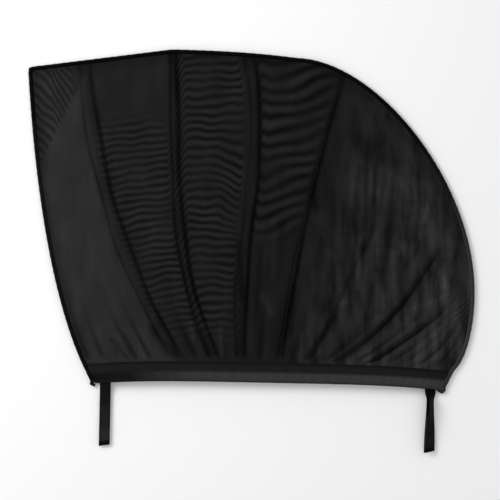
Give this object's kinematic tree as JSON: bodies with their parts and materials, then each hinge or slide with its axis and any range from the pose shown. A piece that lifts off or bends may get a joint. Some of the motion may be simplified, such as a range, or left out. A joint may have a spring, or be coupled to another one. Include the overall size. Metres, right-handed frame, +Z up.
{
  "type": "car side window sunshade",
  "caption": "Pull-on sock of black stretch mesh for a car's rear side window, sewn round three sides, with a gathered elastic hem and short hook-and-loop straps.",
  "frame": {"origin": "middle of the shade's box in plan, on the surface that it lies on", "axes": "+X along the hem, towards the rounded side; +Y from the hem to the top edge; +Z up from the surface, through the cloth"},
  "size_m": [0.68, 0.6, 0.0198],
  "materials": {
    "mesh": "fine black stretch mesh, see-through, matt",
    "binding": "dark folded tape, overlocked",
    "hem": "doubled mesh strip, matt",
    "elastic": "ribbed woven elastic",
    "strap": "woven nylon tape, slight sheen",
    "loops": "brushed loop pile",
    "hooks": "rows of moulded hooks"
  },
  "bodies": {
    "root": {"front_mesh_panel": "mesh", "back_mesh_panel": "mesh", "edge_binding": "binding", "front_hem_casing": "hem", "back_hem_casing": "hem", "front_hem_elastic": "elastic", "back_hem_elastic": "elastic", "left_back_strap": "strap", "left_hook_pad": "hooks", "left_loop_pad": "loops", "left_front_strap": "strap", "right_back_strap": "strap", "right_hook_pad": "hooks", "right_loop_pad": "loops", "right_front_strap": "strap"}
  },
  "joints": []
}
